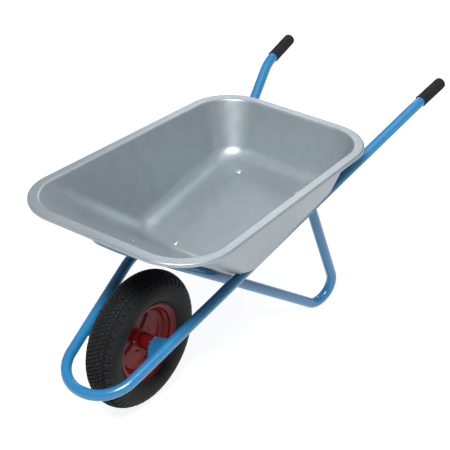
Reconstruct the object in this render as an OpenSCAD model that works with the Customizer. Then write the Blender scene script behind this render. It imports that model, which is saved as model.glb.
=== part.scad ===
// Garden wheelbarrow: a pressed tray on a two-tube frame with one pneumatic wheel.
// Row frame: +X is the way it is pushed, +Y the user's left, +Z up, origin on the ground
// below the middle of the whole length. Millimetres.

/* [View] */
// Node to build, or all

/* [Wheel] */
// Distance of the axle ahead of the origin
axle_x = 435.7; // [400:0.1:470]
// Tyre outside radius, a 4.00-8 wheel
wheel_r = 200; // [180:1:210]
// Half of the tyre's section width
tyre_half_w = 49; // [40:1:60]
// Rim bead seat radius
bead_r = 101.6; // [95:0.1:110]
// Rim flange outside radius
flange_r = 115; // [105:0.5:120]
// Half of the distance between the rim flanges
rim_half_w = 29; // [25:0.5:35]
// Rim sheet thickness
rim_sheet = 1.8; // [1:0.1:3]
// Half length of the hub tube
hub_half = 42; // [35:1:60]
// Hub tube outside radius
hub_r = 23; // [21:0.5:30]
// Blocks round each tread row
tread_blocks = 36; // [20:1:48]
// Depth of the tread cuts
tread_depth = 4; // [2:0.5:6]

/* [Bearing and axle] */
// Bearing bore radius, a 17 x 40 x 12 ball bearing
bearing_bore_r = 8.5; // [8:0.1:10]
// Bearing outside radius
bearing_r = 20; // [18:0.5:24]
// Bearing width
bearing_w = 12; // [10:0.5:14]
// Ball radius
ball_r = 3.37; // [2:0.01:4]
// Balls in each bearing
ball_count = 8; // [6:1:10]
// Axle bolt radius
axle_r = 8.46; // [8:0.01:9]
// Axle nut and head across flats
axle_flats = 24; // [20:1:30]

/* [Frame tube] */
// Outside radius of both frame tubes
tube_r = 15.5; // [13:0.5:18]
// Wall of both frame tubes
tube_wall = 1.5; // [1:0.1:3]
// Front of the main tube ahead of the axle
nose_x = 245.4; // [220:1:280]
// Height of the main tube at its nose
nose_z = 176.4; // [150:1:200]
// Half width of the nose between bend corners
nose_half = 93; // [80:1:110]
// Bend radius of the nose
nose_bend = 105; // [80:1:110]
// Where the front arms turn shallower behind the axle
knee_x = -150; // [-220:1:-100]
// Half width there
knee_half = 157; // [140:1:180]
// Height there
knee_z = 317; // [290:1:340]
// Where the arms turn up behind the tray floor
heel_x = -640; // [-680:1:-600]
// Half width there
heel_half = 166; // [150:1:190]
// Height there
heel_z = 398; // [370:1:420]
// Where the arms flatten into the grips
wrist_x = -985; // [-1020:1:-950]
// Half width there
wrist_half = 266; // [240:1:300]
// Height there
wrist_z = 580; // [550:1:620]
// End of the tube inside the grip
end_x = -1124; // [-1160:1:-1080]
// Half width there
end_half = 276.6; // [250:1:310]
// Height there
end_z = 609; // [580:1:650]

/* [Leg tube] */
// Point of the front strut below the tray wall, behind the axle line
strut_x = 8; // [0:1:20]
// Half width of the struts there
strut_half = 62; // [50:1:80]
// Height of the strut axis there
strut_z = 494.8; // [480:0.1:510]
// Rise of a strut for each millimetre forward
strut_rise = 0.743; // [0.6:0.001:0.85]
// Spread of a strut for each millimetre back
strut_spread = 0.1415; // [0:0.001:0.3]
// Front end of the leg loop ahead of the axle
loop_x = 110; // [80:1:125]
// Bend radius of the leg loop
loop_bend = 42; // [40:1:60]
// Point where the two straight runs of a leg would meet, behind the axle
foot_x = -786; // [-820:1:-760]
// Where the rear strut meets the arm
strut_top_x = -588; // [-600:1:-560]

/* [Tray] */
// Sheet thickness of the tray
tray_sheet = 1.2; // [0.8:0.1:2]
// Height of the rim plane above the axle line
rim_z = 607.5; // [580:0.1:630]
// Rise of the rim plane for each millimetre forward
rim_rise = 0.04; // [0:0.001:0.1]
// Front edge of the rim
rim_front = 162.5; // [140:0.1:190]
// Rear edge of the rim
rim_rear = -768.5; // [-800:0.1:-740]
// Half width of the rim at its front
rim_front_half = 318; // [290:0.1:340]
// Half width of the rim at its rear
rim_rear_half = 286; // [260:0.1:310]
// Corner radius of the rim at its front
rim_front_r = 156; // [120:1:180]
// Corner radius of the rim at its rear
rim_rear_r = 147; // [110:1:180]
// Radius of the rolled outer edge
roll_r = 5; // [3:0.5:8]
// Half width of the floor at its front fold
floor_front_half = 202; // [180:1:230]
// Half width of the floor at its rear fold
floor_rear_half = 199; // [180:1:230]
// Rear fold of the floor behind the axle
floor_rear = -676; // [-700:1:-640]
// Corner radius of the floor fold
floor_r = 74; // [60:1:100]
// Radius between floor and walls
fold_r = 52; // [30:1:60]

/* [Straps and fasteners] */
// Width of the flat straps
strap_w = 30; // [25:1:40]
// Thickness of the two floor straps
strap_t = 3; // [2:0.5:5]
// Thickness of the strap below the front wall
wall_strap_t = 4; // [3:0.5:6]
// Front floor bolts behind the axle
front_bolt_x = -250; // [-280:1:-220]
// Front floor bolts from the middle
front_bolt_y = 70; // [50:1:100]
// Rear floor bolts behind the axle
rear_bolt_x = -605; // [-615:1:-560]
// Rear floor bolts from the middle
rear_bolt_y = 104; // [80:1:130]
// Bolt shank radius, M8
bolt_r = 4; // [3:0.5:5]

/* [Hidden] */
$fn = 48;
tube_in = tube_r - tube_wall;
proud = 0.03;
arm_rise = (heel_z - knee_z) / (knee_x - heel_x);
floor_a = atan(arm_rise);
wall_a = atan(strut_rise);
floor_n = [sin(floor_a), 0, cos(floor_a)];
wall_n = [-sin(wall_a), 0, cos(wall_a)];
arm_axis = [for (s = [-1, 1]) [knee_x, s * knee_half, knee_z]];

// height of the arms' axis, of a plane d above it, and of the front wall d above the struts
function arm_z(x, d = 0) = knee_z + (knee_x - x) * arm_rise + d / cos(floor_a);
function wall_z(x, d = 0) = strut_z + (x - strut_x) * strut_rise + d / cos(wall_a);
function rim_plane(x) = rim_z + rim_rise * x;
function unit(v) = v / norm(v);
function mid_y(x) = knee_half + (heel_half - knee_half) * (knee_x - x) / (knee_x - heel_x);

floor_lift = tube_r + proud + strap_t + tray_sheet + 0.02;
wall_lift = tube_r + proud + wall_strap_t + tray_sheet + 0.02;
// fold between floor and front wall, and between front wall and rim
fold_x = (arm_z(0, floor_lift) - wall_z(0, wall_lift)) / (strut_rise + arm_rise);
lip_x = (rim_z - wall_z(0, wall_lift)) / (strut_rise - rim_rise);
lip_w = rim_front - lip_x;

arm_path = [
  [end_x, -end_half, end_z], [wrist_x, -wrist_half, wrist_z], [heel_x, -heel_half, heel_z],
  [knee_x, -knee_half, knee_z], [nose_x, -nose_half, nose_z], [nose_x, nose_half, nose_z],
  [knee_x, knee_half, knee_z], [heel_x, heel_half, heel_z], [wrist_x, wrist_half, wrist_z],
  [end_x, end_half, end_z]];
arm_bends = [0, 200, 60, 200, nose_bend, nose_bend, 200, 60, 200, 0];

foot_p = [foot_x, strut_half + (strut_x - foot_x) * strut_spread,
  strut_z - (strut_x - foot_x) * strut_rise];
loop_p = [loop_x, strut_half + (strut_x - loop_x) * strut_spread,
  strut_z - (strut_x - loop_x) * strut_rise];
top_p = [strut_top_x, mid_y(strut_top_x), arm_z(strut_top_x)];
down_u = unit(foot_p - top_p);
up_u = unit(loop_p - foot_p);
foot_half = acos(-(down_u * up_u)) / 2;
foot_n = unit(cross(down_u, up_u));
// bend radius that sets the lowest point of the foot on the ground
foot_bend = (tube_r - foot_p[2])
  / (unit(up_u - down_u)[2] / sin(foot_half) - sqrt(1 - foot_n[2] * foot_n[2]));
function flip(p) = [p[0], -p[1], p[2]];
// the rear struts stop just below the arms' axis
top_end = top_p + down_u * 5.5;
leg_path = [flip(top_end), flip(foot_p), flip(loop_p), loop_p, foot_p, top_end];
leg_bends = [0, foot_bend, loop_bend, loop_bend, foot_bend, 0];

bolt_spots = [
  [front_bolt_x, front_bolt_y, 0], [front_bolt_x, -front_bolt_y, 0],
  [rear_bolt_x, rear_bolt_y, 0], [rear_bolt_x, -rear_bolt_y, 0], [strut_x, 0, 1]];

// ---- placing ----

// puts local Z along v, starting at p
module along(p, v) {
  z = unit(v);
  r = abs(z[2]) > 0.99 ? [1, 0, 0] : [0, 0, 1];
  x = unit(cross(r, z));
  y = cross(z, x);
  multmatrix([[x[0], y[0], z[0], p[0]], [x[1], y[1], z[1], p[1]], [x[2], y[2], z[2], p[2]]])
    children();
}

// a sheet's seat on the straps: local Z is the sheet's normal, zero at its upper face
module seat(spot) {
  if (spot[2] == 0)
    translate([spot[0], spot[1], arm_z(spot[0], floor_lift)]) rotate([0, floor_a, 0]) children();
  else
    translate([spot[0], spot[1], wall_z(spot[0], wall_lift)]) rotate([0, -wall_a, 0]) children();
}

// turns a shape on the Z axis onto the axle
module on_axle() { translate([0, 0, wheel_r]) rotate([-90, 0, 0]) children(); }

// ---- bent tubes ----

function turn(a, b, c) = acos(min(1, max(-1, unit(b - a) * unit(c - b))));
function tangent(path, bends, i) = bends[i] == 0 ? 0
  : bends[i] * tan(turn(path[i - 1], path[i], path[i + 1]) / 2);

module ring(r_out, r_in) {
  difference() { circle(r_out); if (r_in > 0) circle(r_in); }
}

// a straight run, a little proud of the bends and lapped over them by lap at each end
module run(a, b, r_out, r_in, lap = 0) {
  u = unit(b - a);
  along(a - u * lap, u) linear_extrude(norm(b - a) + 2 * lap)
    ring(r_out + proud, r_in > 0 ? r_in - proud : 0);
}

// one bend of radius R at corner b, between the runs a-b and b-c
module bend(a, b, c, R, r_out, r_in) {
  u = unit(b - a);
  w = unit(c - b);
  ang = acos(u * w);
  n = unit(cross(u, w));
  inward = cross(n, u);
  p = b - u * R * tan(ang / 2) + inward * R;
  x = -inward;
  y = u;
  multmatrix([[x[0], y[0], n[0], p[0]], [x[1], y[1], n[1], p[1]], [x[2], y[2], n[2], p[2]]])
    rotate_extrude(angle = ang) translate([R, 0]) ring(r_out, r_in);
}

module bent_tube(path, bends, r_out, r_in) {
  for (i = [0 : len(path) - 2]) {
    u = unit(path[i + 1] - path[i]);
    run(path[i] + u * tangent(path, bends, i), path[i + 1] - u * tangent(path, bends, i + 1),
      r_out, r_in, 1);
  }
  for (i = [1 : len(path) - 2])
    bend(path[i - 1], path[i], path[i + 1], bends[i], r_out, r_in);
}

// ---- tray surface ----

// corner v of a plan outline rounded to radius r: points and outward normals
function rounded(a, v, c, r, n) =
  let (u = unit(v - a), w = unit(c - v), ang = acos(u * w),
       m = [u[1], -u[0]], centre = v - u * r * tan(ang / 2) - m * r)
  [for (i = [0 : n]) let (t = ang * i / n, d = m * cos(t) + u * sin(t)) [centre + d * r, d]];

// plan outline, anticlockwise from the rear right corner
function outline(front, rear, front_half, rear_half, front_r, rear_r, n = 10) =
  let (p = [[rear, -rear_half], [front, -front_half], [front, front_half], [rear, rear_half]],
       r = [rear_r, front_r, front_r, rear_r])
  [for (i = [0 : 3]) each rounded(p[(i + 3) % 4], p[i], p[(i + 1) % 4], r[i], n)];

floor_line = outline(fold_x, floor_rear, floor_front_half, floor_rear_half, floor_r, floor_r);
lip_line = outline(lip_x, rim_rear + lip_w, rim_front_half - lip_w, rim_rear_half - lip_w,
  rim_front_r - lip_w, rim_rear_r - lip_w);

// direction in a plane that rises k for each millimetre forward, above plan direction d
function lifted(d, k) = unit([d[0], d[1], k * d[0]]);

// points of one wall profile from the floor to the rolled edge
function profile(i) =
  let (a = floor_line[i], b = lip_line[i],
       p0 = [a[0][0], a[0][1], arm_z(a[0][0], floor_lift)],
       p1 = [b[0][0], b[0][1], rim_plane(b[0][0])],
       out0 = lifted(a[1], -arm_rise), out1 = lifted(b[1], rim_rise),
       w = unit(p1 - p0),
       t0 = acos(out0 * w), n0 = unit(w - out0 * cos(t0)), s0 = p0 - out0 * fold_r * tan(t0 / 2),
       t1 = acos(out1 * w), n1 = unit(out1 - w * cos(t1)), s1 = p1 - w * 8 * tan(t1 / 2),
       e = p1 + out1 * (lip_w - roll_r), dn = unit(cross([-out1[1], out1[0], 0], out1)))
  concat(
    [for (k = [0 : 5]) let (f = t0 * k / 5) s0 + out0 * fold_r * sin(f) + n0 * fold_r * (1 - cos(f))],
    [for (k = [0 : 3]) let (f = t1 * k / 3) s1 + w * 8 * sin(f) + n1 * 8 * (1 - cos(f))],
    [for (k = [0 : 3]) let (f = 30 * k)
      e + out1 * roll_r * sin(f) - [0, 0, 1] * roll_r * (1 - cos(f))],
    [e + out1 * roll_r - [0, 0, 1] * (roll_r + 5)]);

top_pts = [for (i = [0 : len(floor_line) - 1]) profile(i)];
rows = len(top_pts[0]);

// sheet normal at row k of profile i, pointing into the tray
function sheet_n(i, k) =
  let (k0 = k == 6 ? 6 : max(k - 1, 0), k1 = k == 5 ? 5 : min(k + 1, rows - 1),
       dk = top_pts[i][k1] - top_pts[i][k0],
       slope = k < 6 ? -arm_rise : rim_rise, d = k < 6 ? floor_line[i][1] : lip_line[i][1],
       t = [-d[1], d[0], -slope * d[1]])
  k == 0 ? floor_n : unit(cross(dk, t));

module tray_shell() {
  n = len(top_pts);
  points = concat(
    [for (i = [0 : n - 1]) for (k = [0 : rows - 1]) top_pts[i][k]],
    [for (i = [0 : n - 1]) for (k = [0 : rows - 1]) top_pts[i][k] - sheet_n(i, k) * tray_sheet]);
  low = n * rows;
  faces = concat(
    [for (i = [0 : n - 1]) for (k = [0 : rows - 2]) let (j = (i + 1) % n) each [
      [i * rows + k, i * rows + k + 1, j * rows + k + 1],
      [i * rows + k, j * rows + k + 1, j * rows + k],
      [low + i * rows + k, low + j * rows + k + 1, low + i * rows + k + 1],
      [low + i * rows + k, low + j * rows + k, low + j * rows + k + 1]]],
    [for (i = [0 : n - 1]) let (j = (i + 1) % n, e = rows - 1) each [
      [i * rows + e, low + i * rows + e, low + j * rows + e],
      [i * rows + e, low + j * rows + e, j * rows + e]]],
    [[for (i = [0 : n - 1]) i * rows], [for (i = [0 : n - 1]) low + (n - 1 - i) * rows]]);
  polyhedron(points, faces);
}

// ---- nodes ----

module placed() { translate([axle_x, 0, 0]) children(); }

module tray() {
  color([0.62, 0.67, 0.71]) placed() difference() {
    tray_shell();
    for (s = bolt_spots) seat(s) cylinder(h = 12, r = bolt_r + 0.2, center = true);
  }
}

module main_frame_tube() {
  color([0.16, 0.5, 0.78]) placed() bent_tube(arm_path, arm_bends, tube_r, tube_in);
}

module leg_tube() {
  color([0.16, 0.5, 0.78]) placed() difference() {
    bent_tube(leg_path, leg_bends, tube_r, tube_in);
    for (s = [-1, 1])
      run([knee_x - 200, s * mid_y(knee_x - 200), arm_z(knee_x - 200)],
        [heel_x, s * heel_half, heel_z], tube_r, 0);
  }
}

// flat strap lying on the arms
module floor_strap(x, y) {
  color([0.16, 0.5, 0.78]) placed() seat([x, 0, 0]) difference() {
    translate([-strap_w / 2, -mid_y(x) - 8, -tray_sheet - strap_t])
      cube([strap_w, 2 * mid_y(x) + 16, strap_t]);
    for (s = [-1, 1]) translate([0, s * y, 0]) cylinder(h = 20, r = bolt_r + 0.3, center = true);
  }
}

module front_floor_strap() { floor_strap(front_bolt_x, front_bolt_y); }
module rear_floor_strap() { floor_strap(rear_bolt_x, rear_bolt_y); }

module front_wall_strap() {
  color([0.16, 0.5, 0.78]) placed() seat([strut_x, 0, 1]) difference() {
    translate([-strap_w / 2, -strut_half - 10, -tray_sheet - wall_strap_t])
      cube([strap_w, 2 * strut_half + 20, wall_strap_t]);
    cylinder(h = 30, r = bolt_r + 0.3, center = true);
  }
}

// corners of the bracket's web: two on the fold above the axle, two inside the tube
ear_y = 50;
ear_t = 4;
web_a = [-14, ear_y, 218.5];
web_b = [24, ear_y, 207.7];
web_far = [nose_x - (nose_x - knee_x) * 0.59, nose_half + (knee_half - nose_half) * 0.59,
  nose_z + (knee_z - nose_z) * 0.59];
web_u = unit(web_b - web_a);
web_n = unit(cross(web_u, web_far - web_a));
web_v = cross(web_n, web_u);

module axle_bracket(s) {
  color([0.16, 0.5, 0.78]) placed() mirror([0, s < 0 ? 1 : 0, 0]) difference() {
    union() {
      // ear with the axle hole
      translate([0, ear_y + ear_t / 2, 0]) rotate([90, 0, 0]) linear_extrude(ear_t) union() {
        translate([0, wheel_r]) circle(21);
        polygon([[-20, 193], [20, 193], [web_b[0], web_b[2] + 1.6], [web_a[0], web_a[2] + 1.6]]);
      }
      // web up to the tube
      multmatrix([[web_u[0], web_v[0], web_n[0], web_a[0]],
        [web_u[1], web_v[1], web_n[1], web_a[1]], [web_u[2], web_v[2], web_n[2], web_a[2]]])
        translate([0, 0, -ear_t / 2]) linear_extrude(ear_t)
          polygon([[0, 0], [norm(web_b - web_a), 0], [107, 66],
            [(web_far - web_a) * web_u, (web_far - web_a) * web_v]]);
    }
    on_axle() cylinder(h = 200, r = axle_r + 0.1, center = true);
    // spot face for the washer
    translate([0, ear_y + ear_t / 2, wheel_r]) rotate([-90, 0, 0]) cylinder(h = 8, r = 15.4);
    run(arm_path[5] - (arm_path[6] - arm_path[5]) * 0.2, arm_path[6], tube_r, 0);
  }
}

module left_axle_bracket() { axle_bracket(1); }
module right_axle_bracket() { axle_bracket(-1); }

module grip(s) {
  a = [end_x, s * end_half, end_z];
  b = [wrist_x, s * wrist_half, wrist_z];
  color([0.07, 0.07, 0.08]) placed() along(a, b - a) rotate_extrude() difference() {
    union() {
      polygon([[0, -6], [11, -6], [15, -4.6], [17, -1.8], [17.6, 1.6], [17.6, 102], [18.6, 104],
        [19, 106], [18.6, 108], [0, 108]]);
      for (k = [0 : 17]) translate([0, 6 + k * 5.2]) square([18.2, 2.6]);
    }
    translate([0, -0.95]) square([tube_r + proud + 0.03, 120]);
  }
}

module left_grip() { grip(1); }
module right_grip() { grip(-1); }

module tray_bolts() {
  color([0.75, 0.76, 0.78]) placed() for (s = bolt_spots) seat(s) {
    long = s[2] == 0 ? 30 : 26;
    translate([0, 0, -long]) cylinder(h = long + 0.5, r = bolt_r);
    // bevelled under its edge, where the floor starts to fold up
    rotate_extrude() polygon([[0, 0.1], [5.3, 0.1], [9, 0.8], [8.6, 1.6], [7.2, 2.9], [4.6, 3.9], [0, 4.4]]);
  }
}

function under(s) = -tray_sheet - (s[2] == 0 ? strap_t : wall_strap_t);

module tray_washers() {
  color([0.75, 0.76, 0.78]) placed() for (s = bolt_spots) seat(s)
    translate([0, 0, under(s) - 1.65]) linear_extrude(1.6) ring(8, bolt_r + 0.25);
}

module tray_nuts() {
  color([0.75, 0.76, 0.78]) placed() for (s = bolt_spots) seat(s)
    translate([0, 0, under(s) - 8.25]) linear_extrude(6.5) difference() {
      circle(r = 7.5, $fn = 6);
      circle(bolt_r + 0.02);
    }
}

axle_out = ear_y + ear_t / 2;

module axle_bolt() {
  color([0.7, 0.71, 0.73]) placed() on_axle() {
    translate([0, 0, -axle_out - 2.6]) cylinder(h = 2 * axle_out + 24, r = axle_r);
    translate([0, 0, -axle_out - 12.6]) cylinder(h = 10.02, r = axle_flats / sqrt(3), $fn = 6);
  }
}

module axle_washers() {
  color([0.75, 0.76, 0.78]) placed() on_axle() for (s = [-1, 1])
    translate([0, 0, s * (axle_out + 1.3) - 1.25]) linear_extrude(2.5) ring(15, axle_r + 0.2);
}

module axle_nut() {
  color([0.75, 0.76, 0.78]) placed() on_axle() translate([0, 0, axle_out + 2.65]) {
    linear_extrude(12) difference() {
      circle(r = axle_flats / sqrt(3), $fn = 6);
      circle(axle_r + 0.02);
    }
    translate([0, 0, 11.9]) linear_extrude(4) ring(10.6, axle_r + 0.02);
  }
}

module axle_spacers() {
  color([0.6, 0.61, 0.63]) placed() on_axle() for (s = [-1, 1])
    translate([0, 0, s * (hub_half + 3.2) - 2.7]) linear_extrude(5.4) ring(11.4, axle_r + 0.1);
}

module bearing_spacer_tube() {
  half = hub_half - bearing_w - 0.05;
  color([0.6, 0.61, 0.63]) placed() on_axle() translate([0, 0, -half])
    linear_extrude(2 * half) ring(11.2, axle_r + 0.3);
}

bearing_mid = hub_half - bearing_w / 2;
ball_ring = (bearing_bore_r + bearing_r) / 2;

// a bearing ring cut by the ball track
module race(r_in, r_out) {
  rotate_extrude() difference() {
    translate([r_in, -bearing_w / 2]) square([r_out - r_in, bearing_w]);
    translate([ball_ring, 0]) circle(ball_r + 0.04);
  }
}

module bearing_inner_races() {
  color([0.8, 0.81, 0.83]) placed() on_axle() for (s = [-1, 1])
    translate([0, 0, s * bearing_mid]) race(bearing_bore_r, ball_ring - 2);
}

module bearing_outer_races() {
  color([0.8, 0.81, 0.83]) placed() on_axle() for (s = [-1, 1])
    translate([0, 0, s * bearing_mid]) race(ball_ring + 2, bearing_r);
}

module bearing_balls() {
  color([0.85, 0.86, 0.88]) placed() on_axle() for (s = [-1, 1]) for (k = [0 : ball_count - 1])
    translate([0, 0, s * bearing_mid]) rotate(k * 360 / ball_count + 11)
      translate([ball_ring, 0, 0]) sphere(ball_r);
}

module bearing_seals() {
  color([0.1, 0.1, 0.1]) placed() on_axle() for (s = [-1, 1]) for (e = [-1, 1])
    translate([0, 0, s * bearing_mid + e * (bearing_w / 2 - 0.9) - 0.5]) linear_extrude(1)
      ring(ball_ring + 1.97, ball_ring - 1.94);
}

module hub_tube() {
  color([0.5, 0.05, 0.07]) placed() on_axle() difference() {
    cylinder(h = 2 * hub_half, r = hub_r, center = true);
    cylinder(h = 2 * hub_half + 2, r = bearing_r - 2.5, center = true);
    for (s = [-1, 1]) translate([0, 0, s * (hub_half + 5 - bearing_w / 2)])
      cylinder(h = bearing_w + 10, r = bearing_r + 0.02, center = true);
  }
}

// outer face of a rim half, hub to flange: [radius, distance from the wheel's middle plane]
rim_line = [[hub_r + 0.02, 9], [30, 9], [36, 2.2], [80, 2.2], [87, 5.5], [91, 12], [95, 16],
  [99, 19.5], [99.8, 25], [103, rim_half_w - 1.6], [109, rim_half_w], [flange_r - 4, rim_half_w + 1.4],
  [flange_r - 1, rim_half_w + 3.6]];

// three-armed pressing of a rim disc
module rim_star(grow) {
  for (k = [0 : 2]) rotate(120 * k + 8) polygon([[20, -24 - grow], [34, -17 - grow], [60, -8 - grow],
    [76 + grow, -6 - grow], [76 + grow, 6 + grow], [60, 8 + grow], [34, 17 + grow], [20, 24 + grow]]);
}

module rim_half() {
  n = len(rim_line) - 1;
  difference() {
    union() {
      rotate_extrude() polygon(concat(rim_line,
        [for (i = [n : -1 : 0]) let (
          a = rim_line[max(i - 1, 0)], b = rim_line[min(i + 1, n)], t = unit(b - a))
          i == 0 ? rim_line[0] - [0, rim_sheet] : i == n ? rim_line[n] + [rim_sheet, -0.9]
            : rim_line[i] + [t[1], -t[0]] * rim_sheet]));
      rotate_extrude() translate([flange_r - 0.6, rim_half_w + 3.4]) circle(1.6);
      difference() {
        linear_extrude(8) rim_star(0);
        translate([0, 0, -1]) cylinder(h = 12, r = 33);
      }
    }
    translate([0, 0, -0.01]) linear_extrude(6.4) difference() { rim_star(-2); circle(34.5); }
  }
}

module rim_left() {
  color([0.5, 0.05, 0.07]) placed() on_axle() rim_half();
}

valve_turn = 62;

module valve_axis() {
  rotate(valve_turn) translate([99, 0, -22]) rotate([0, -122, 0]) children();
}

module rim_right() {
  color([0.5, 0.05, 0.07]) placed() on_axle() difference() {
    mirror([0, 0, 1]) rim_half();
    valve_axis() cylinder(h = 40, r = 6.1, center = true);
  }
}

// tyre section: crown radius, shoulder, side wall and bead
tyre_out = [[104.5, 19], [103.4, 23.6], [106, rim_half_w - 3.2], [112, rim_half_w - 1.6],
  [118, 33], [124, 40], [132, 45.4], [142, 48.3], [153, tyre_half_w], [164, 47.6], [173, 44.2],
  [180, 40.2], [185.6, 35.8], [190, 30], [194, 22.4], [197.2, 14.8], [199.3, 7.2], [wheel_r, 0]];
tyre_in = [[190, 0], [189, 7], [186.6, 14.6], [182.8, 22], [177, 29.4], [169.4, 35.6], [160, 39.4],
  [150, 40.6], [140, 39.4], [130, 35.6], [122, 29.6], [116, 22.8], [111, 18]];

shoulder_r = 190 - tread_depth; // floor of the cuts across the shoulders

// points last to first of a section line, on the other side of the wheel
function other_side(line, last, first) = [for (i = [last : -1 : first]) [line[i][0], -line[i][1]]];

module tyre_section() {
  polygon(concat(tyre_out, other_side(tyre_out, len(tyre_out) - 2, 0),
    other_side(tyre_in, len(tyre_in) - 1, 1), tyre_in));
}

module tyre() {
  color([0.08, 0.08, 0.09]) placed() on_axle() difference() {
    rotate_extrude() tyre_section();
    for (y = [-1, 1]) rotate_extrude() translate([wheel_r - 2.4 - tread_depth, y * 13 - 2])
      square([20, 4]);
    for (s = [-1, 1]) for (k = [0 : tread_blocks - 1])
      rotate((k + s * 0.25) * 360 / tread_blocks)
        translate([shoulder_r, -2, s > 0 ? 20 : -38]) cube([20, 4, 18]);
  }
}

tube_line = [[188.8, 0], [187.8, 6.6], [185.5, 13.9], [181.8, 21], [176.2, 28.2], [168.8, 34],
  [159.6, 37.8], [150, 39], [140.6, 37.8], [131, 34.1], [123.2, 28.2], [117.4, 21.6],
  [112.2, 15.8], [104, 13.4], [103.2, 0]];

module tube_section(line) {
  polygon(concat(line, other_side(line, len(line) - 2, 1)));
}

module inner_tube() {
  color([0.1, 0.1, 0.1]) placed() on_axle() rotate_extrude() difference() {
    tube_section(tube_line);
    tube_section([for (p = tube_line) [146 + (p[0] - 146) * 0.95, p[1] * 0.94]]);
  }
}

module valve_stem() {
  color([0.1, 0.1, 0.1]) placed() on_axle() difference() {
    valve_axis() translate([0, 0, -2]) rotate_extrude()
      polygon([[0, 0], [6, 0], [6, 9], [5, 13], [5, 24], [3.9, 25], [3.9, 34], [0, 34]]);
    rotate_extrude() tube_section(tube_line);
  }
}

module valve_cap() {
  color([0.06, 0.06, 0.06]) placed() on_axle() valve_axis() translate([0, 0, -2]) difference() {
    translate([0, 0, 25.1]) cylinder(h = 12, r = 5);
    translate([0, 0, 25]) cylinder(h = 9.5, r = 3.95);
  }
}

tray();
main_frame_tube();
leg_tube();
front_floor_strap();
rear_floor_strap();
front_wall_strap();
left_axle_bracket();
right_axle_bracket();
left_grip();
right_grip();
tray_bolts();
tray_washers();
tray_nuts();
axle_bolt();
axle_washers();
axle_nut();
axle_spacers();
bearing_spacer_tube();
bearing_inner_races();
bearing_balls();
bearing_outer_races();
bearing_seals();
hub_tube();
rim_left();
rim_right();
tyre();
inner_tube();
valve_stem();
valve_cap();
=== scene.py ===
import math

import bmesh
import bpy
import numpy as np
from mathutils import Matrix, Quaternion, Vector


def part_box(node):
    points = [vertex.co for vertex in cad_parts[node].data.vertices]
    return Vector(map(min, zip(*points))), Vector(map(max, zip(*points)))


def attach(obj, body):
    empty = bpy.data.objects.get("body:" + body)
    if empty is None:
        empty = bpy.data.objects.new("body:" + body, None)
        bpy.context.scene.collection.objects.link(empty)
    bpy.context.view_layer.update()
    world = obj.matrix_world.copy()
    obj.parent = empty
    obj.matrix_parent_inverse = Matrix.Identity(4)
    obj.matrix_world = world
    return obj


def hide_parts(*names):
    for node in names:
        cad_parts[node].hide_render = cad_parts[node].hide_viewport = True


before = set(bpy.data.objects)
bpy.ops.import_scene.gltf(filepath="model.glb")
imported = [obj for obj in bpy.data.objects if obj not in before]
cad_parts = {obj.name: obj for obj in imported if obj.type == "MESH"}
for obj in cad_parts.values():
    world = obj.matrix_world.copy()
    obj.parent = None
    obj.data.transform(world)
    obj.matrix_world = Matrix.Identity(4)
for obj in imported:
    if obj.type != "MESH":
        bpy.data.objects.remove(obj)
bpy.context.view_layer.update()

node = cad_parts

# ---- Frame tubes ----
# Two bent steel tubes in gloss blue enamel. The main tube runs round the wheel, under the tray
# and back to the handles; the leg tube makes the front loop, both legs and the rear struts.
# Sizes are in millimetres from the ground under the wheel's middle; +X is forward, +Y left.
TUBE_R = 15.5
KNEE = np.array([-150.0, 157.0, 317.0])
HEEL = np.array([-640.0, 166.0, 398.0])
ARM_RISE = (HEEL[2] - KNEE[2]) / (KNEE[0] - HEEL[0])
STRUT = np.array([8.0, 62.0, 494.8])
STRUT_RISE = 0.743
STRUT_SPREAD = 0.1415
FLIP = np.array([1.0, -1.0, 1.0])
AXLE_X = sum(corner.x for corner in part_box("tyre")) / 2


def unit(v):
    """v, or each vector of an array, scaled to length one."""
    return v / np.linalg.norm(v, axis=-1, keepdims=True)


def dot(a, b):
    """Products of paired vectors, kept as a last axis of one."""
    return (a * b).sum(-1, keepdims=True)


def smoothstep(low, high, x):
    """0 below low, 1 above high, and the cubic 3t^2 - 2t^3 between."""
    t = np.clip((x - low) / (high - low), 0, 1)
    return t * t * (3 - 2 * t)


class Wire:
    """A shader socket; +, - and * on it add Math nodes."""

    def __init__(self, paint, socket):
        self.paint, self.socket = paint, socket

    def maths(self, operation, first, second):
        return self.paint.node("ShaderNodeMath", {"operation": operation}, {0: first, 1: second})

    def __add__(self, other):
        return self.maths("ADD", self, other)

    def __sub__(self, other):
        return self.maths("SUBTRACT", self, other)

    def __mul__(self, other):
        return self.maths("MULTIPLY", self, other)

    __radd__, __rmul__ = __add__, __mul__


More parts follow.
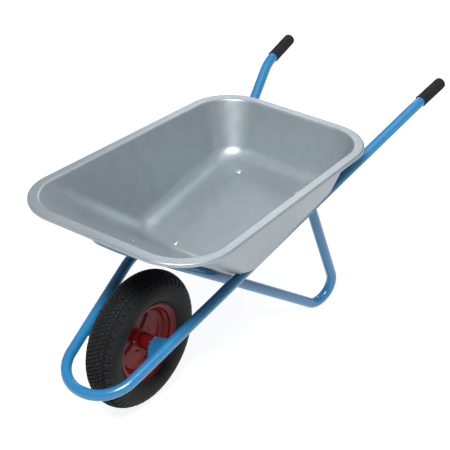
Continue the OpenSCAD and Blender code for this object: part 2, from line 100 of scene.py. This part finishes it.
class Paint:
    """A finish: a Principled surface with fixed sockets, and node() for every other node."""

    def __init__(self, name, **fixed):
        self.material = bpy.data.materials.new(name)
        self.material.use_nodes = True
        self.tree = self.material.node_tree
        self.surface = self.tree.nodes["Principled BSDF"]
        for socket, value in fixed.items():
            self.feed(self.surface.inputs[socket.replace("_", " ")], value)
        self.place = self.node("ShaderNodeTexCoord", {}, {}, "Object")

    def feed(self, socket, value):
        if isinstance(value, Wire):
            self.tree.links.new(value.socket, socket)
        else:
            socket.default_value = value

    def node(self, kind, settings, inputs, output=0):
        made = self.tree.nodes.new(kind)
        for key, value in settings.items():
            setattr(made, key, value)
        for key, value in inputs.items():
            self.feed(made.inputs[key], value)
        return Wire(self, made.outputs[output])

    def noise(self, scale, detail=2.0, stretch=(1, 1, 1)):
        """Cloudy 0 to 1 pattern, scale per metre, drawn out along an axis where stretch is small."""
        at = self.node("ShaderNodeMapping", {}, {"Vector": self.place, "Scale": stretch})
        return self.node("ShaderNodeTexNoise", {}, {"Vector": at, "Scale": scale, "Detail": detail})

    def ramp(self, amount, low, high):
        """0 where amount is below low and 1 where it is above high."""
        return self.node("ShaderNodeMapRange", {}, {"Value": amount, "From Min": low, "From Max": high})

    def blend(self, amount, first, second):
        """Colour that goes from first to second with amount."""
        return self.node("ShaderNodeMix", {"data_type": "RGBA"},
                         {0: amount, 6: (*first, 1) if isinstance(first, tuple) else first,
                          7: (*second, 1) if isinstance(second, tuple) else second}, 2)

    def finish(self, colour, roughness, height, distance, strength=1.0):
        """Feeds the colour, the roughness and a bump of that height in metres."""
        self.feed(self.surface.inputs["Base Color"], colour)
        self.feed(self.surface.inputs["Roughness"], roughness)
        bump = self.node("ShaderNodeBump", {}, {"Height": height, "Distance": distance,
                                                "Strength": strength})
        self.feed(self.surface.inputs["Normal"], bump)
        return self.material


def skin(name, points, material, body, replaced, loop=False, sharp=50):
    """Mesh over a grid of points [rows, columns, 3]: every row is a ring. With loop the last row
    meets the first; otherwise both end rows have shrunk to a point, which closes them."""
    rows, columns = points.shape[:2]
    index = np.arange(rows * columns).reshape(rows, columns)
    low = index if loop else index[:-1]
    high = np.roll(index, -1, 0)[:len(low)]
    quads = np.stack([low, np.roll(low, -1, 1), np.roll(high, -1, 1), high], -1).reshape(-1, 4)
    mesh = bpy.data.meshes.new(name)
    place = points.reshape(-1, 3) / 1000 + [AXLE_X, 0, 0]
    mesh.from_pydata(place.tolist(), [], quads.tolist())
    work = bmesh.new()
    work.from_mesh(mesh)
    bmesh.ops.remove_doubles(work, verts=work.verts, dist=2e-6)
    bmesh.ops.recalc_face_normals(work, faces=work.faces)
    work.to_mesh(mesh)
    work.free()
    mesh.polygons.foreach_set("use_smooth", np.ones(len(mesh.polygons), bool))
    mesh.set_sharp_from_angle(angle=math.radians(sharp))
    mesh.materials.append(material)
    piece = bpy.data.objects.new(name, mesh)
    bpy.context.scene.collection.objects.link(piece)
    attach(piece, body)
    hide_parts(*replaced)
    return piece


def dress(material, *names):
    """Gives carried-over nodes a finish."""
    for name in names:
        node[name].data.materials.clear()
        node[name].data.materials.append(material)


def bent_line(corners, bends):
    """Points along straight runs joined by arcs: an arc of radius R leaves the run R tan(a/2)
    before its corner, where a is the angle turned, and is drawn every 3 degrees."""
    parts = [corners[:1]]
    for before, corner, after, radius in zip(corners, corners[1:], corners[2:], bends):
        into, out = unit(corner - before), unit(after - corner)
        angle = math.acos(float(into @ out))
        inward = unit(out - into * (into @ out))
        start = corner - into * radius * math.tan(angle / 2)
        a = np.linspace(0, angle, max(4, int(math.degrees(angle) / 3)))[:, None]
        parts.append(start + into * radius * np.sin(a) + inward * radius * (1 - np.cos(a)))
    return np.concatenate(parts + [corners[-1:]])


def tube_skin(line, radius, columns=56):
    """A circle carried along the line, its frame turned as little as possible from one point to
    the next, with a point at each end."""
    heading = unit(np.gradient(line, axis=0))
    side = np.empty_like(line)
    last = unit(np.cross(heading[0], [0.3, 0.2, 1.0]))
    for k, ahead in enumerate(heading):
        last = unit(last - ahead * (last @ ahead))
        side[k] = last
    up = np.cross(heading, side)
    a = np.linspace(0, 2 * np.pi, columns, endpoint=False)[:, None]
    rings = line[:, None] + radius * (np.cos(a) * side[:, None] + np.sin(a) * up[:, None])
    ends = np.repeat(line[[0, -1], None], columns, 1)
    return np.concatenate([ends[:1], rings, ends[1:]])


def blue_enamel(name):
    """Gloss enamel: a faint orange-peel bump, a cloudy shade, and small darker specks."""
    paint = Paint(name, Coat_Weight=0.30, Coat_Roughness=0.05, IOR=1.45)
    cloud = paint.noise(9, 3)
    peel = paint.noise(420, 1)
    speck = paint.ramp(paint.noise(700, 2), 0.70, 0.76)
    colour = paint.blend(cloud, (0.010, 0.118, 0.258), (0.014, 0.146, 0.308))
    colour = paint.blend(speck * 0.35, colour, (0.008, 0.085, 0.18))
    return paint.finish(colour, 0.22 + 0.08 * cloud, peel, 0.0002, 0.08)


NOSE = np.array([245.4, 93.0, 176.4])
WRIST = np.array([-985.0, 266.0, 580.0])
TUBE_END = np.array([-1124.0, 276.6, 609.0])
half = [NOSE, KNEE, HEEL, WRIST, TUBE_END]
main_line = bent_line(np.array([p * FLIP for p in half[::-1]] + half),
                      [200, 60, 200, 105, 105, 200, 60, 200])
blue = blue_enamel("blue_enamel")
skin("main_tube_skin", tube_skin(main_line, TUBE_R), blue, "frame",
     ["main_frame_tube"])


def strut_point(x):
    """Point of the left strut's axis at x."""
    back = STRUT[0] - x
    return STRUT + np.array([-back, back * STRUT_SPREAD, -back * STRUT_RISE])


foot, loop_corner = strut_point(-786), strut_point(110)
STRUT_TOP_X = -588
along_arm = (KNEE[0] - STRUT_TOP_X) / (KNEE[0] - HEEL[0])
strut_top = KNEE + (HEEL - KNEE) * along_arm
down, rise = unit(foot - strut_top), unit(loop_corner - foot)
foot_half = math.acos(-float(down @ rise)) / 2
foot_side = unit(np.cross(down, rise))
foot_bend = (TUBE_R - foot[2]) / (
    unit(rise - down)[2] / math.sin(foot_half) - math.sqrt(1 - foot_side[2] ** 2))
half = [loop_corner, foot, strut_top + down * 5.5]
leg_line = bent_line(np.array([p * FLIP for p in half[::-1]] + half),
                     [foot_bend, 42, 42, foot_bend])
skin("leg_tube_skin", tube_skin(leg_line, TUBE_R), blue, "frame", ["leg_tube"])

# ---- Straps and axle brackets ----
# Flat steel straps welded across the tubes carry the tray. Folded brackets hang the axle from
# the arms. All are sprayed with the frame, in the same enamel.
dress(blue, "front_floor_strap", "rear_floor_strap", "front_wall_strap",
      "left_axle_bracket", "right_axle_bracket")

# ---- Tray ----
# One deep-drawn sheet of zinc-coated steel, 1.2 mm thick. The walls lean out from a flat floor
# through a wide fold, turn into a level flange and end in a rolled edge.
SHEET = 1.2
FOLD_R = 52
LIP_R = 8
ROLL_R = 5
SKIRT = 5
RIM_Z, RIM_RISE = 607.5, 0.04
RIM_FRONT, RIM_REAR = 162.5, -768.5
PROUD = 0.03
floor_slope, wall_slope = math.atan(ARM_RISE), math.atan(STRUT_RISE)
floor_lift = TUBE_R + PROUD + 3 + SHEET + 0.02
wall_lift = TUBE_R + PROUD + 4 + SHEET + 0.02


def floor_z(x):
    """Height of the tray floor's upper face."""
    return KNEE[2] + (KNEE[0] - x) * ARM_RISE + floor_lift / math.cos(floor_slope)


wall_z0 = STRUT[2] - STRUT[0] * STRUT_RISE + wall_lift / math.cos(wall_slope)
fold_x = (floor_z(0) - wall_z0) / (STRUT_RISE + ARM_RISE)
lip_x = (RIM_Z - wall_z0) / (STRUT_RISE - RIM_RISE)
lip_w = RIM_FRONT - lip_x


def outline(front, rear, front_half, rear_half, front_r, rear_r, arc=25, side=14):
    """Four-cornered plan, anticlockwise, with round corners: points and outward directions.
    Each corner is an arc tangent to both sides; each side is straight between two arcs."""
    corner = np.array([[rear, -rear_half], [front, -front_half],
                       [front, front_half], [rear, rear_half]], float)
    points, facing = [], []
    for k, radius in enumerate([rear_r, front_r, front_r, rear_r]):
        into = unit(corner[k] - corner[k - 1])
        out = unit(corner[(k + 1) % 4] - corner[k])
        angle = math.acos(float(into @ out))
        away = np.array([into[1], -into[0]])
        centre = corner[k] - into * radius * math.tan(angle / 2) - away * radius
        a = np.linspace(0, angle, arc)[:, None]
        turned = away * np.cos(a) + into * np.sin(a)
        points.append(centre + turned * radius)
        facing.append(turned)
    t = np.linspace(0, 1, side + 2)[1:-1, None]
    for k in range(4):
        ahead = points[(k + 1) % 4][0]
        points[k] = np.concatenate([points[k], points[k][-1] * (1 - t) + ahead * t])
        facing[k] = np.concatenate([facing[k], np.repeat(facing[k][-1:], side, 0)])
    return np.concatenate(points), np.concatenate(facing)


floor_at, floor_out = outline(fold_x, -676, 202, 199, 74, 74)
lip_at, lip_out = outline(lip_x, RIM_REAR + lip_w, 318 - lip_w, 286 - lip_w,
                          156 - lip_w, 147 - lip_w)


def lifted(flat, slope):
    """Plan directions laid into a plane that rises by slope going forward."""
    return unit(np.column_stack([flat, flat[:, 0] * slope]))


foot_of_wall = np.column_stack([floor_at, floor_z(floor_at[:, 0])])
top_of_wall = np.column_stack([lip_at, RIM_Z + RIM_RISE * lip_at[:, 0]])
out_floor, out_rim = lifted(floor_out, -ARM_RISE), lifted(lip_out, RIM_RISE)
wall = unit(top_of_wall - foot_of_wall)


def arc_between(corner, into, out, radius, steps):
    """Rows round a corner, from direction into to direction out, tangent to both."""
    angle = np.arccos(np.clip(dot(into, out), -1, 1))
    inward = unit(out - into * np.cos(angle))
    f = angle * np.linspace(0, 1, steps)[:, None, None]
    start = corner - into * radius * np.tan(angle / 2)
    return start + into * radius * np.sin(f) + inward * radius * (1 - np.cos(f))


def rows_between(first, last, count):
    """count rows strictly between two rows."""
    t = np.linspace(0, 1, count + 2)[1:-1, None, None]
    return first * (1 - t) + last * t


fold = arc_between(foot_of_wall, out_floor, wall, FOLD_R, 16)
lip = arc_between(top_of_wall, wall, out_rim, LIP_R, 9)
edge = top_of_wall + out_rim * (lip_w - ROLL_R)
f = np.linspace(0, np.pi / 2, 11)[:, None, None]
roll = edge + out_rim * ROLL_R * np.sin(f) - np.array([0, 0, ROLL_R]) * (1 - np.cos(f))
middle = np.broadcast_to(fold[0].mean(0), fold[0].shape)
floor_rows = np.concatenate([middle[None], rows_between(middle, fold[0], 7)])
upper = np.concatenate([
    floor_rows, fold, rows_between(fold[-1], lip[0], 12), lip,
    rows_between(lip[-1], roll[0], 4), roll, roll[-1:] - [0, 0, SKIRT]])
across = np.roll(upper, -1, 1) - np.roll(upper, 1, 1)
across[0] = across[1]
outward = np.gradient(upper, axis=0)
sheet_normal = unit(np.cross(outward, across))
sheet_normal[:len(floor_rows) + 1] = [math.sin(floor_slope), 0, math.cos(floor_slope)]
tray_points = np.concatenate([upper, (upper - sheet_normal * SHEET)[::-1]])
tray_low, tray_high = (np.array(corner) * 1000 - [AXLE_X * 1000, 0, 0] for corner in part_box("tray"))
tray_points = np.clip(tray_points, tray_low, tray_high)


def zinc_sheet(name):
    """Satin zinc: cloudy bluish grey, long faint draw marks, and a very fine grain."""
    paint = Paint(name, Metallic=0.62, IOR=1.45)
    cloud = paint.noise(3.2, 3)
    mottle = paint.noise(26, 4)
    drawn = paint.noise(60, 3, (1, 1, 0.06))
    grain = paint.noise(900, 2)
    colour = paint.blend(cloud, (0.217, 0.258, 0.287), (0.278, 0.311, 0.333))
    colour = paint.blend(paint.ramp(mottle, 0.35, 0.7) * 0.30, colour, (0.315, 0.339, 0.356))
    rough = 0.33 + 0.09 * mottle + 0.05 * drawn
    return paint.finish(colour, rough, grain * 0.4 + drawn * 0.6, 0.00025, 0.16)


zinc = zinc_sheet("zinc_sheet")
skin("tray_sheet", tray_points, zinc, "frame", ["tray"])

# ---- Fasteners ----
# Zinc-plated mushroom-head bolts, washers and hexagon nuts hold the tray to its straps; a larger
# bolt, nut and washers make the axle. Plating is bright with a slight yellow cloud.


def plated_steel(name, dark, light, roughness):
    """Plated or turned steel: two close greys in a small cloud, under fine tool marks."""
    paint = Paint(name, Metallic=0.95)
    cloud = paint.noise(70, 3)
    marks = paint.noise(500, 2, (1, 0.15, 1))
    return paint.finish(paint.blend(cloud, dark, light), roughness + 0.12 * cloud, marks,
                        0.0001, 0.3)


plated = plated_steel("zinc_plating", (0.52, 0.54, 0.55), (0.70, 0.71, 0.69), 0.20)
dress(plated, "tray_bolts", "tray_washers", "tray_nuts", "axle_bolt", "axle_washers", "axle_nut")
turned = plated_steel("turned_steel", (0.36, 0.37, 0.38), (0.52, 0.53, 0.54), 0.30)
dress(turned, "axle_spacers", "bearing_spacer_tube")
ground = plated_steel("ground_steel", (0.60, 0.61, 0.62), (0.76, 0.77, 0.78), 0.10)
dress(ground, "bearing_inner_races", "bearing_outer_races", "bearing_balls")

# ---- Grips ----
# Moulded rubber sleeves pushed over the tube ends, with a domed end, shallow ribs round the hand
# part and a raised collar at the front.
GRIP_LONG = 108
RIBS, RIB_PITCH, FIRST_RIB = 18, 5.2, 6


def black_rubber(name, dark, light, roughness, grain_scale):
    """Matt rubber: a faint bloom over near-black, with a fine moulded grain."""
    paint = Paint(name, IOR=1.48, Specular_IOR_Level=0.10)
    bloom = paint.noise(30, 4)
    grain = paint.noise(grain_scale, 2)
    return paint.finish(paint.blend(paint.ramp(bloom, 0.35, 0.7), dark, light),
                        roughness + 0.14 * bloom, grain, 0.0003, 0.35)


def grip_points(columns=64):
    """A profile of radius over length turned about the tube's axis: a quarter-ellipse dome, then
    the hand part with a raised cosine per rib, then the collar."""
    dome = np.linspace(0, np.pi / 2, 14)
    z = np.concatenate([1.6 - 7.6 * np.cos(dome), np.linspace(2.2, GRIP_LONG, 260)])
    hand = (z - FIRST_RIB) / RIB_PITCH
    ribbed = smoothstep(-0.1, 0.1, hand) * smoothstep(RIBS + 0.1, RIBS - 0.1, hand)
    r = 17.5 + 0.65 * ribbed * (0.5 - 0.5 * np.cos(2 * np.pi * hand)) ** 0.6
    r += 1.35 * np.exp(-((z - 105.6) / 1.7) ** 2)
    r[:14] = 17.5 * np.sin(dome) ** 0.75
    z, r = np.append(z, [GRIP_LONG, 98, 98]), np.append(r, [15.6, 15.6, 0])
    a = np.linspace(0, 2 * np.pi, columns, endpoint=False)
    return z[:, None] * np.ones(columns), r[:, None] * np.cos(a), r[:, None] * np.sin(a)


grip_rubber = black_rubber("grip_rubber", (0.010, 0.010, 0.011), (0.017, 0.017, 0.018), 0.58, 1300)
for side, name in ((1, "left"), (-1, "right")):
    end, wrist = TUBE_END * [1, side, 1], WRIST * [1, side, 1]
    ahead = unit(wrist - end)
    cross = unit(np.cross([0, 0, 1], ahead))
    z, p, q = (part[..., None] for part in grip_points())
    skin(f"{name}_grip_sleeve", end + ahead * z + cross * p + np.cross(ahead, cross) * q,
         grip_rubber, "frame", [f"{name}_grip"], sharp=75)

# ---- Wheel rim and hub ----
# Two pressed steel halves bolted face to face over a hub tube, in dark red enamel. Each half has
# a dished disc with a three-armed pressing, a broad barrel and a rolled flange for the tyre.
WHEEL_R = 200
HUB_R = 23
RIM_SHEET = 1.8
STAR_TURN = 8
RIM_LINE = [[HUB_R + 0.02, 9], [26.5, 9.1], [30, 8.6], [33.5, 5], [37, 2.4], [44, 2.2], [60, 2.2],
            [78, 2.2], [87, 5.5], [91, 12], [95, 16], [98.6, 20], [99.8, 25], [103, 27.4],
            [109, 29], [112, 31.4], [114.6, 33.6], [116, 32.6], [115.6, 30.8]]


def through(line, per_segment):
    """Catmull-Rom curve through the points of a line."""
    p = np.array(line, float)
    p = np.concatenate([2 * p[:1] - p[1:2], p, 2 * p[-1:] - p[-2:-1]])
    a, b, c, d = (p[k:len(p) - 3 + k, None] for k in range(4))
    t = np.linspace(0, 1, per_segment, endpoint=False)[None, :, None]
    curve = b + 0.5 * t * (c - a + t * (2 * a - 5 * b + 4 * c - d + t * (3 * (b - c) + d - a)))
    return np.concatenate([curve.reshape(-1, 2), p[-2:-1]])


def about_axle(r, y, angle):
    """Points at a radius from the axle and an offset along it; the angle turns from forward
    towards the ground."""
    return np.stack(np.broadcast_arrays(r * np.cos(angle), y, WHEEL_R - r * np.sin(angle)), -1)


def rim_points(side, columns=300):
    """The pressed line turned about the axle, raised where three tapering arms run out from the
    hub, and closed by the same sheet a thickness behind it."""
    line = through(RIM_LINE, 5)
    r, y = line[:, :1], line[:, 1:]
    angle = np.linspace(0, 2 * np.pi, columns, endpoint=False)[None]
    arm = 0
    for k in range(3):
        turned = angle - math.radians(120 * k + STAR_TURN)
        out, across = r * np.cos(turned), np.abs(r * np.sin(turned))
        half_width = np.interp(out, [20, 34, 60, 76], [21, 14, 7, 5])
        inside = smoothstep(-2.2, 2.2, half_width - across) * smoothstep(80, 72, out)
        arm = np.maximum(arm, inside * (out > 0))
    raised = np.where((r > 28) & (r < 84), np.maximum(y, 2.2 + 5.8 * arm), y)
    slope = unit(np.gradient(line, axis=0))
    back_r, back_y = r + slope[:, 1:] * RIM_SHEET, raised - slope[:, :1] * RIM_SHEET
    return np.concatenate([about_axle(r, side * raised, angle),
                           about_axle(back_r, side * back_y, angle)[::-1]])


def red_enamel(name):
    """Dark red gloss: deep in the hollows of its cloud, with a light orange peel."""
    paint = Paint(name, Coat_Weight=0.10, Coat_Roughness=0.10, IOR=1.4,
                  Specular_IOR_Level=0.10)
    cloud = paint.noise(22, 3)
    peel = paint.noise(300, 1)
    return paint.finish(paint.blend(cloud, (0.085, 0.003, 0.004), (0.125, 0.004, 0.006)),
                        0.20 + 0.12 * cloud, peel, 0.0003, 0.3)


red = red_enamel("red_enamel")
for side, name in ((1, "left"), (-1, "right")):
    skin(f"rim_{name}_pressing", rim_points(side), red, "wheel", [f"rim_{name}"],
         loop=True)
dress(red, "hub_tube")

# ---- Tyre ----
# Black pneumatic tyre, 400 by 98 mm. Offset blocks with zigzag edges cover the crown,
# larger lugs the shoulders, and a ring of small pits marks the wear line on each side wall.
TYRE_LINE = [[104.5, 19], [103.4, 23.6], [106, 25.8], [112, 27.4], [118, 33], [124, 40],
             [132, 45.4], [142, 48.3], [153, 49]]
CROWN_PITCH, SHOULDER_PITCH, PITS = 100, 50, 36
TREAD_DEEP = 4.5


def near_whole(x):
    """Distance from x to the nearest whole number."""
    return np.abs(x - np.round(x))


def tread_depth(s, angle):
    """How far the surface lies below the block tops, at arc length s from the crown's middle.
    Crown blocks fill a grid of rows and pitches, shifted by half a pitch in every other row, with
    the row lines bent into a zigzag; shoulder lugs are cut straight across."""
    turns, across = angle / (2 * np.pi), np.abs(s)
    u = turns * CROWN_PITCH
    q = s / 11.0 + 0.5 + 0.5 * near_whole(u / 2)
    between_rows = smoothstep(0.05, 0.17, near_whole(q))
    between_blocks = smoothstep(0.10, 0.24, near_whole(u + 0.5 * (np.floor(q) % 2)))
    lug = smoothstep(0.07, 0.17, near_whole(turns * SHOULDER_PITCH + 0.25 * np.sign(s)))
    on_shoulder = smoothstep(33.5, 34.5, across)
    top = between_rows * between_blocks * (1 - on_shoulder) + lug * on_shoulder
    top = top * smoothstep(0.8, 2.2, np.abs(across - 34))
    depth = TREAD_DEEP * (1 - top) * (1 - smoothstep(50, 55, across))
    around = near_whole(turns * PITS) / PITS * 2 * np.pi * 176
    return depth + 1.6 * np.exp(-(around / 2.6) ** 2 - ((across - 61) / 2.4) ** 2)


def tyre_points(columns=720):
    """The section, side wall then half an ellipse over the crown, turned about the axle; the
    tread is sunk along the section's normal, and a plain inner wall closes it."""
    t = np.linspace(0, np.pi / 2, 60)[1:]
    crown = np.column_stack([153 + 47 * np.sin(t), 49 * np.cos(t)])
    one = np.concatenate([through(TYRE_LINE, 2), crown])
    outer = np.concatenate([one, one[-2::-1] * [1, -1]])
    length = np.append(0, np.cumsum(np.linalg.norm(np.diff(outer, axis=0), axis=1)))
    s = (length - length[-1] / 2)[:, None]
    slope = unit(np.gradient(outer, axis=0))
    angle = np.linspace(0, 2 * np.pi, columns, endpoint=False)[None]
    sunk = tread_depth(s, angle)
    r = outer[:, :1] + sunk * slope[:, 1:]
    y = outer[:, 1:] - sunk * slope[:, :1]
    inner = np.array([[111, -18], [130, -35.6], [150, -40.6], [177, -29.4],
                      [177, 29.4], [150, 40.6], [130, 35.6], [111, 18]], float)
    return np.concatenate([about_axle(r, y, angle),
                           about_axle(inner[:, :1], inner[:, 1:], angle)])


tyre_rubber = black_rubber("tyre_rubber", (0.0085, 0.009, 0.0095), (0.010, 0.0105, 0.011), 0.50, 650)
skin("tyre_casing", tyre_points(), tyre_rubber, "wheel", ["tyre"], loop=True,
     sharp=60)

# ---- Inner tube, valve and seals ----
# Butyl tube inside the tyre, its rubber valve stem through the right rim half with a moulded
# cap, and the rubber seals that close both bearings.
dress(black_rubber("tube_rubber", (0.012, 0.012, 0.012), (0.022, 0.022, 0.022), 0.45, 500),
      "inner_tube", "valve_stem")
dress(black_rubber("seal_rubber", (0.010, 0.010, 0.010), (0.018, 0.018, 0.018), 0.50, 900),
      "bearing_seals")
dress(black_rubber("cap_plastic", (0.012, 0.012, 0.013), (0.024, 0.024, 0.026), 0.33, 1500),
      "valve_cap")

# ---- Studio ----
# A pale seamless floor, dim surroundings, a large soft light overhead, a key light in front that
# falls on the rear wall, one behind the far corner, and a long low strip on the near side.
paint = Paint("studio_floor", Emission_Color=(1, 1, 1, 1), Emission_Strength=0.86)
floor_material = paint.finish(paint.blend(paint.noise(2), (0.27, 0.27, 0.27), (0.29, 0.29, 0.29)),
                              0.9, paint.noise(40), 0.0001, 0.1)
mesh = bpy.data.meshes.new("studio_floor")
mesh.from_pydata([(-14, -14, 0), (14, -14, 0), (14, 14, 0), (-14, 14, 0)], [], [(0, 1, 2, 3)])
mesh.materials.append(floor_material)
floor = bpy.data.objects.new("studio_floor", mesh)
bpy.context.scene.collection.objects.link(floor)

world = bpy.data.worlds.new("surroundings")
world.use_nodes = True
world.node_tree.nodes["Background"].inputs["Color"].default_value = (0.93, 0.97, 1.0, 1)
world.node_tree.nodes["Background"].inputs["Strength"].default_value = 0.36
bpy.context.scene.world = world


def soft_light(name, place, target, size, power):
    """A rectangular light of size (width, height) in metres at place, facing target."""
    light = bpy.data.lights.new(name, "AREA")
    light.shape = "RECTANGLE"
    light.size, light.size_y = size
    light.energy = power
    lamp = bpy.data.objects.new(name, light)
    lamp.location = place
    lamp.rotation_mode = "QUATERNION"
    lamp.rotation_quaternion = (Vector(target) - Vector(place)).to_track_quat("-Z", "Y")
    bpy.context.scene.collection.objects.link(lamp)


soft_light("overhead", (-0.2, 0.3, 3.6), (0, 0, 0.3), (3.2, 2.6), 30)
soft_light("front_key", (2.1, 1.2, 3.8), (-0.4, -0.1, 0.45), (1.3, 1.0), 285)
soft_light("far_corner", (-2.6, -1.6, 2.3), (-0.2, 0, 0.45), (1.3, 1.0), 18)
soft_light("near_strip", (0.3, 3.2, 0.55), (0, 0, 0.35), (3.4, 0.22), 3)

camera_data = bpy.data.cameras.new("camera")
camera_data.sensor_width = 36
camera_data.lens = 107.1
camera = bpy.data.objects.new("camera", camera_data)
camera.location = (2.6610, 1.9399, 2.4069)
camera.rotation_mode = "QUATERNION"
back = Vector((0.68108, 0.50471, 0.53048))
ROLL = -0.0056
camera.rotation_quaternion = (-back).to_track_quat("-Z", "Y") @ Quaternion((0, 0, 1), ROLL)
bpy.context.scene.collection.objects.link(camera)
bpy.context.scene.camera = camera
bpy.context.scene.view_settings.view_transform = "Standard"
